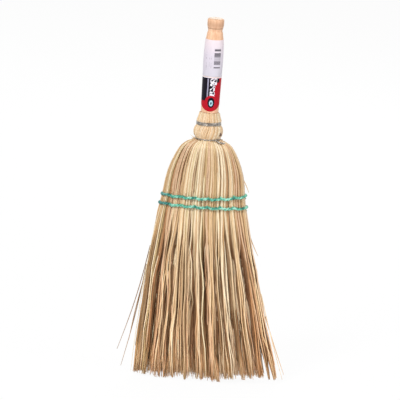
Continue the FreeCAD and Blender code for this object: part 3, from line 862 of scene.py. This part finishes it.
def tube_along(lines, radius, closed=False, sides=8):
    """One mesh piece of round tubes along lines of points."""
    clear_selection()
    curve = bpy.data.curves.new("tube", "CURVE")
    curve.dimensions = "3D"
    curve.bevel_depth = radius
    curve.bevel_resolution = sides // 2 - 2
    curve.use_fill_caps = not closed
    for line in lines:
        spline = curve.splines.new("POLY")
        spline.points.add(len(line) - 1)
        spline.points.foreach_set("co", np.column_stack([line, np.ones(len(line))]).ravel())
        spline.use_cyclic_u = closed
    tube = add_object("tube", curve)
    tube.select_set(True)
    bpy.context.view_layer.objects.active = tube
    bpy.ops.object.convert(target="MESH")
    bpy.ops.object.shade_smooth()
    return tube


def join_pieces(first, *others):
    clear_selection()
    for piece in (first, *others):
        piece.select_set(True)
    bpy.context.view_layer.objects.active = first
    bpy.ops.object.join()
    return first


def build_wire_metal():
    nodes = Material("galvanised_wire", Metallic=1.0, Roughness=0.34)
    noise = nodes.noise(nodes.place(), 260.0, 3.0)
    return nodes.finish(nodes.ramp(noise, (0.3, rgb(120, 112, 104)), (0.7, rgb(196, 190, 182))))


wire_metal = build_wire_metal()
WIRE_RADIUS = 0.75 * MM
PITCH = 1.55 * MM


def coil_line(radius, height, turns, start):
    """Turns of wire side by side, rising a wire's width each turn."""
    angle = np.linspace(0, turns * 2 * math.pi, int(72 * turns))
    rise = (angle / (2 * math.pi) - turns / 2) * PITCH
    angle = angle + start
    return np.column_stack([radius * np.cos(angle), radius * np.sin(angle), height + rise])


def band_radius(node):
    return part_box(node)[1].y - WIRE_RADIUS


# %% The two bands and the twisted tail
top_coil = tube_along([coil_line(band_radius("top_binding_wire"), TOP_WIRE, 2.85, 0.6)], WIRE_RADIUS)
finish_piece(top_coil, "top_wire", wire_metal, "binding_wire", "top_binding_wire")

low_ring = band_radius("lower_binding_wire")
tail_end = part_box("lower_binding_wire")[1].x
tail_start = Vector((low_ring * 0.62, -low_ring * 0.79, LOW_WIRE - 0.3 * MM))
tail_stop = Vector((tail_end - 1.5 * MM, -6 * MM, LOW_WIRE - 4.4 * MM))


def twist_line(start, stop, phase, turns, offset, bow):
    """One strand of two wires twisted together from start to stop, bowed outwards."""
    part = np.linspace(0, 1, 60)[:, None]
    centre = np.array(start) * (1 - part) + np.array(stop) * part
    centre[:, 1] -= np.sin(part[:, 0] * math.pi) * bow
    along = (stop - start).normalized()
    side = along.cross(Vector((0, 0, 1))).normalized()
    up = side.cross(along)
    turn = part * turns * 2 * math.pi + phase
    spread = offset * np.minimum(part * 6, 1)
    return centre + spread * (np.cos(turn) * np.array(side) + np.sin(turn) * np.array(up))


low_band = tube_along([coil_line(low_ring, LOW_WIRE, 1.0, 0.4)], WIRE_RADIUS)
low_tail = tube_along([twist_line(tail_start, tail_stop, phase, 2.6, 0.7 * MM, 5.5 * MM)
                       for phase in (0, math.pi)], 0.68 * MM)
finish_piece(join_pieces(low_band, low_tail), "low_wire", wire_metal, "binding_wire", "lower_binding_wire")

nail_steel = Material("nail_steel", Metallic=0.6, Roughness=0.55, Base_Color=rgb(110, 84, 72))
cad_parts["wire_nails"].material_slots[0].material = nail_steel.data

# %% [markdown]
# ## The green cord
# Two plies of cord are twisted together and run round the fan in each row. Between stitches the
# cord bulges a little; at each stitch a loop crosses it on a slant and pulls it into the straw.

# %% Cord
PLY_RADIUS = 1.15 * MM
PLY_OFFSET = 1.0 * MM
PLY_PITCH = 9.0 * MM
STITCH_STEP = 18 * MM
LOOP_RADIUS = 0.85 * MM
KNOT_SIZE = 2.2 * MM
KNOT_RADIUS = 1.3 * MM
KNOT_END = np.array([[0.6, 0, -1], [1.6, -0.8, -2.4], [2.2, -1.2, -3.6], [3.4, -1.4, -4.4]]) * MM
KNOT_END_RADIUS = 0.6 * MM


def build_cord_material():
    nodes = Material("green_cord", Roughness=0.5, Specular_IOR_Level=0.5)
    place = nodes.place()
    colour = nodes.ramp(nodes.noise(place, 150.0, 3.0), (0.37, rgb(38, 112, 100)),
                        (0.5, rgb(86, 172, 146)), (0.62, rgb(160, 218, 198)))
    # Painted shade: the cord turns a dark blue-green towards the fan's left end, where it wraps round the
    # edge.
    left_end_shade = nodes.span(nodes.split(place)["X"], -0.04, -0.056, 0.0, 0.75)
    colour = nodes.mix(left_end_shade, colour, rgb(34, 104, 108))
    return nodes.finish(colour, nodes.noise(place, 1500.0, 2.0), 0.5, 0.2 * MM)


cord_green = build_cord_material()


def stitch_places(row):
    """Where a row's stitches cross: as many as in the CAD row, even about the middle."""
    low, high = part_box(row + "_stitches")
    count = round((high.x - low.x) / STITCH_STEP) + 1
    return (np.arange(count) - (count - 1) / 2) * STITCH_STEP


def row_centre(row, angle, lift):
    """Centre line of a row of cord: points, and the outward way at each."""
    low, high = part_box(row + "_cord_wrap")
    thick = (high.z - low.z) / 2
    wide, deep = (high.x - low.x) / 2 - thick - 1.4 * MM, (high.y - low.y) / 2 - thick
    x, y = wide * np.cos(angle), deep * np.sin(angle)
    out = np.column_stack([np.cos(angle) / wide, np.sin(angle) / deep, np.zeros(len(angle))])
    out /= np.linalg.norm(out, axis=1, keepdims=True)
    phase = (x / STITCH_STEP + 0.5) % 1.0 - 0.5
    slant = phase * (1 - np.exp(-((np.abs(phase) - 0.5) / 0.1) ** 2)) * 2.0 * MM
    dip = np.exp(-((np.abs(phase) - 0.5) / 0.12) ** 2) * 1.3 * MM
    middle = (low.z + high.z) / 2 + lift[0] + lift[1] * np.maximum(np.cos(angle), 0) ** 2
    return np.column_stack([x, y, middle + slant]) + out * (0.5 * MM - dip)[:, None], out


def ply_lines(row, lift):
    angle = np.linspace(0, 2 * math.pi, 521)[:-1]
    centre, out = row_centre(row, angle, lift)
    step = np.linalg.norm(np.diff(centre, axis=0, append=centre[:1]), axis=1)
    run = np.concatenate([[0], np.cumsum(step)[:-1]])
    turns = round(step.sum() / PLY_PITCH)
    up = np.array([0.0, 0.0, 1.0])
    lines = []
    for phase in (0, math.pi):
        turn = (run / step.sum() * turns * 2 * math.pi + phase)[:, None]
        lines.append(centre + PLY_OFFSET * (np.cos(turn) * out + np.sin(turn) * up))
    return lines


def stitch_line(row, across, face, lift):
    """A loop that comes out of the straw above the cord, crosses it and goes in below."""
    low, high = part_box(row + "_cord_wrap")
    half = (high.x - low.x) / 2
    angle = np.array([-face * math.acos(across / half)])
    centre, out = row_centre(row, angle, lift)
    part = np.linspace(-1, 1, 13)[:, None]
    reach = (2.1 - 5.6 * part ** 4) * MM
    side = np.array([1.0, 0, 0]) * part * 2.6 * MM * face
    return centre[0] + reach * out[0] + side - part * np.array([0, 0, 2.1 * MM])


def knot_line(size, centre):
    """A simple overhand knot."""
    turn = np.linspace(0, 2 * math.pi, 61)[:-1]
    x = (np.sin(turn) + 2 * np.sin(2 * turn)) / 3
    y = (np.cos(turn) - 2 * np.cos(2 * turn)) / 3
    z = -np.sin(3 * turn) / 3
    return np.column_stack([z, x, y]) * size + np.array(centre)


# how much higher each row lies than its CAD ring: all round, and more at the right end
ROWS = (("upper", (-2.2 * MM, 4.6 * MM)), ("lower", (0.0, 0.6 * MM)))
for row, lift in ROWS:
    wrap = tube_along(ply_lines(row, lift), PLY_RADIUS, closed=True)
    finish_piece(wrap, row + "_cord", cord_green, "sewing_cord", row + "_cord_wrap")
    loops = [stitch_line(row, across, face, lift) for across in stitch_places(row) for face in (1, -1)]
    finish_piece(tube_along(loops, LOOP_RADIUS), row + "_loops", cord_green, "sewing_cord",
                 row + "_stitches")
    knot_low, knot_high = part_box(row + "_cord_knot")
    middle = (knot_low + knot_high) / 2 + Vector((-3.4 * MM, 0, lift[0] + lift[1]))
    knot = tube_along([knot_line(KNOT_SIZE, middle)], KNOT_RADIUS, closed=True)
    loose = tube_along([KNOT_END + np.array(middle)], KNOT_END_RADIUS)
    finish_piece(join_pieces(knot, loose), row + "_knot", cord_green, "sewing_cord", row + "_cord_knot")

# %% [markdown]
# ## Printed paper
# The labels are thin CAD parts that fit the handle, so they stay and get printed looks. Each
# print is drawn from the place round the handle and the height. It shows no real mark: only
# plain strips, bars, blots and a ring.

# %% Print helpers
LABEL_RADIUS = 12.8 * MM


class Print(Material):
    """A print, painted area by area, in mm round the handle from its front and mm of height."""

    def __init__(self, name, **values):
        super().__init__(name, **values)
        x, y, z = self.split(self.place())
        self.around = self.times(self.math("ARCTAN2", x, self.times(y, -1.0)), LABEL_RADIUS / MM)
        self.height = self.times(z, 1000.0)

    def between(self, value, low, high):
        return self.times(self.math("GREATER_THAN", value, low), self.math("LESS_THAN", value, high))

    def box(self, left, right, bottom, top):
        return self.times(self.between(self.around, left, right), self.between(self.height, bottom, top))

    def disc(self, x, y, half_width, half_height):
        squares = []
        for value, middle, half in ((self.around, x, half_width), (self.height, y, half_height)):
            away = self.math("DIVIDE", self.math("SUBTRACT", value, middle), half)
            squares.append(self.times(away, away))
        return self.math("LESS_THAN", self.math("ADD", *squares), 1.0)


def build_upper_print():
    nodes = Print("label_paper", Roughness=0.5)
    steps = nodes.join(nodes.math("FLOOR", nodes.times(nodes.height, 1.6)))
    bars = nodes.add("TexWhiteNoise", {"Vector": steps}, noise_dimensions="3D").outputs[0]
    up = nodes.math("DIVIDE", nodes.math("SUBTRACT", nodes.height, 412.0), 48.0)
    colour = nodes.ramp(up, (0.0, rgb(196, 192, 202)), (0.6, rgb(206, 198, 209)),
                        (1.0, rgb(222, 208, 213)))
    block = nodes.box(1.2, 10.4, 423.0, 451.0)
    thick = nodes.math("GREATER_THAN", bars, 0.3)
    for low, high, depth in ((424.0, 425.6, 1.0), (428.6, 433.6, 0.95), (439.0, 444.6, 0.95),
                             (446.8, 450.2, 0.95), (433.6, 439.0, 0.3)):
        group = nodes.times(block, nodes.between(nodes.height, low, high))
        ink = nodes.math("MULTIPLY_ADD", thick, depth * 0.45, depth * 0.5)
        colour = nodes.mix(nodes.times(group, ink), colour, rgb(48, 42, 56))
    marks = nodes.times(nodes.math("GREATER_THAN", bars, 0.5), 0.5)
    for area in ((-10.2, -8.8, 420.0, 446.0), (-5.2, -4.4, 426.0, 438.0), (-2.8, -2.1, 424.0, 440.0)):
        colour = nodes.mix(nodes.times(nodes.box(*area), marks), colour, rgb(140, 130, 142))
    return nodes.finish(colour)


def build_lower_print():
    nodes = Print("printed_label", Roughness=0.5, Specular_IOR_Level=0.12)
    noise = nodes.noise(nodes.join(nodes.around, nodes.height), 0.22, 1.0)
    black, white, red = rgb(16, 12, 24), rgb(226, 222, 230), rgb(172, 14, 32)
    column = nodes.box(-1.7, 7.6, 383.5, 410.2)
    blots = nodes.ramp(noise, (0.40, black), (0.44, white), (0.54, white), (0.57, black))
    edge = nodes.math("GREATER_THAN", nodes.math("ADD", nodes.around, nodes.times(noise, 9.0)), 9.6)
    faded = nodes.times(edge, nodes.math("LESS_THAN", nodes.height, 401.0))
    colour = red
    for area, paint in ((nodes.box(-99.0, -1.7, 379.0, 500.0), black),
                        (nodes.box(-5.8, -3.9, 383.5, 409.5), rgb(150, 146, 166)),
                        (column, blots),
                        (nodes.times(column, faded), red),
                        (nodes.box(7.6, 11.5, 404.5, 410.2), black),
                        (nodes.disc(0.9, 377.0, 9.6, 9.6), red),
                        (nodes.disc(0.9, 377.0, 5.0, 7.0), black),
                        (nodes.disc(0.9, 376.2, 2.7, 4.0), rgb(166, 204, 216)),
                        (nodes.disc(1.0, 376.0, 1.1, 1.9), rgb(24, 50, 70)),
                        (nodes.math("GREATER_THAN", nodes.height, 410.4), white)):
        colour = nodes.mix(area, colour, paint)
    return nodes.finish(colour)


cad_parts["upper_label"].material_slots[0].material = build_upper_print()
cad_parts["lower_label"].material_slots[0].material = build_lower_print()
print("labels printed")

# %% [markdown]
# ## Loose stems and fibres
# A few stems stand out from the fan's sides, and short broken fibres stick out under the wire.

# %% Loose stems
STRAYS = [
    # root height, side, tip height, how far the tip stands off the fan, tip's y, bow, tone
    (0.176, -1, 0.033, 20.0 * MM, -5 * MM, 3 * MM, 0.0),
    (0.150, -1, 0.009, 12.0 * MM, 4 * MM, 2 * MM, 0.1),
    (0.130, -1, 0.046, 6.0 * MM, 0.0, -1 * MM, 0.05),
    (0.120, 1, 0.006, 3.2 * MM, -3 * MM, 1 * MM, 0.9),
    (0.090, 1, 0.012, 6.5 * MM, 2 * MM, 0.5 * MM, 0.5),
    (0.275, 1, 0.258, 5.0 * MM, -8 * MM, -0.6 * MM, 0.4),
    (0.196, 1, 0.172, 4.6 * MM, -2 * MM, 0.5 * MM, 0.3),
]


def stray_line(root, side, tip, stand_off, tip_y, bow):
    """From just inside the fan's side to a tip that stands off it."""
    width, _, shift = fan_size(np.array([root, tip]))
    start = shift[0] + side * (width[0] - 1.5 * MM)
    end = shift[1] + side * (width[1] + stand_off)
    part = np.linspace(0, 1, PLAIN_RINGS)
    x = start * (1 - part) + part * end - side * np.sin(part * math.pi) * bow
    return np.column_stack([x, tip_y * part, root + (tip - root) * part])


FIBRES = 22
part = np.linspace(0, 1, PLAIN_RINGS)[None]


def fibre_lines():
    """Short fibres that stick out under the wire: all round the front, and more at both sides."""
    turn = rng.uniform(-2.6, -0.3, FIBRES)
    turn[:6] = rng.uniform(-0.5, 0.3, 6)
    turn[6:11] = rng.uniform(2.9, 3.6, 5)
    reach = rng.uniform(3, 9, FIBRES) * MM
    rise = rng.normal(-1.5, 3.2, FIBRES) * MM
    rise[6:9] = rng.uniform(3, 7, 3) * MM
    out = 16.2 * MM + reach[:, None] * part
    bend = turn[:, None] + rng.normal(0, 0.25, (FIBRES, 1)) * part
    height = LOW_WIRE - 1.6 * MM + rise[:, None] * part + 0 * out
    return np.stack([out * np.cos(bend), out * np.sin(bend), height], axis=-1)


def loose_batch(lines, thickness, tones):
    count = len(lines)
    radii = thickness * np.interp(part, [0, 0.6, 1], [1, 0.85, 0.45]) * np.ones((count, 1))
    looks = np.stack([tones, np.ones(count), rng.uniform(0.2, 0.7, count)], axis=1)
    return plain_stem, lines, radii, np.repeat(looks[:, None], PLAIN_RINGS, axis=1)


stray_lines = np.array([stray_line(*stray[:6]) for stray in STRAYS])
short_lines = fibre_lines()
strays = stem_piece([
    loose_batch(stray_lines, 0.65 * MM, np.array([stray[6] for stray in STRAYS])),
    loose_batch(short_lines, 0.3 * MM, rng.uniform(0.2, 0.8, FIBRES))])
finish_piece(strays, "loose_stems", straw, "straw", "stray_stems")

# %% [markdown]
# ## Floor and light
# There is a plain pale floor, a lamp at the front left, weaker and wider ones at the right and
# behind, and a pale sky. The floor shows nearly white to the camera and keeps a faint shadow.

# %% Floor, sky and lamps
FLOOR_GLOW = 0.94
LAMP_AIM = Vector((0, 0, 0.2))


def build_floor():
    clear_selection()
    bpy.ops.mesh.primitive_plane_add(size=30, location=(0, 0, 0))
    floor = bpy.context.object
    floor.name = "floor"
    nodes = Material("floor_white", Roughness=0.9, Base_Color=(0.9, 0.9, 0.9, 1))
    white = nodes.add("Emission", {"Color": (1, 1, 1, 1), "Strength": 1.0})
    mixed = nodes.add("MixShader", {0: nodes.times(nodes.seen(), FLOOR_GLOW),
                                    1: nodes.shader.outputs[0], 2: white.outputs[0]})
    nodes.link(mixed.outputs[0], nodes.tree.nodes["Material Output"].inputs["Surface"])
    floor.data.materials.append(nodes.data)


def build_sky(strength):
    """A sky that lights the broom with some strength, and shows as plain white."""
    world = bpy.data.worlds.new("studio")
    bpy.context.scene.world = world
    world.use_nodes = True
    nodes = Nodes(world.node_tree)
    background = world.node_tree.nodes["Background"].inputs
    background["Color"].default_value = (1, 1, 1, 1)
    level = nodes.math("ADD", nodes.times(nodes.seen(), 1.0 - strength), strength)
    nodes.link(level, background["Strength"])


def add_lamp(name, place, size, power):
    data = bpy.data.lights.new(name, "AREA")
    data.size = size
    data.energy = power
    lamp = add_object(name, data)
    lamp.location = place
    lamp.rotation_euler = (LAMP_AIM - Vector(place)).to_track_quat("-Z", "Y").to_euler()


build_floor()
build_sky(strength=0.5)
add_lamp("key_lamp", (-1.0, -2.1, 2.1), 0.6, 57)
add_lamp("fill_lamp", (2.2, -1.4, 0.9), 1.2, 19)
add_lamp("back_lamp", (0.3, 2.2, 1.6), 1.2, 24)
bpy.context.scene.view_settings.view_transform = "Standard"
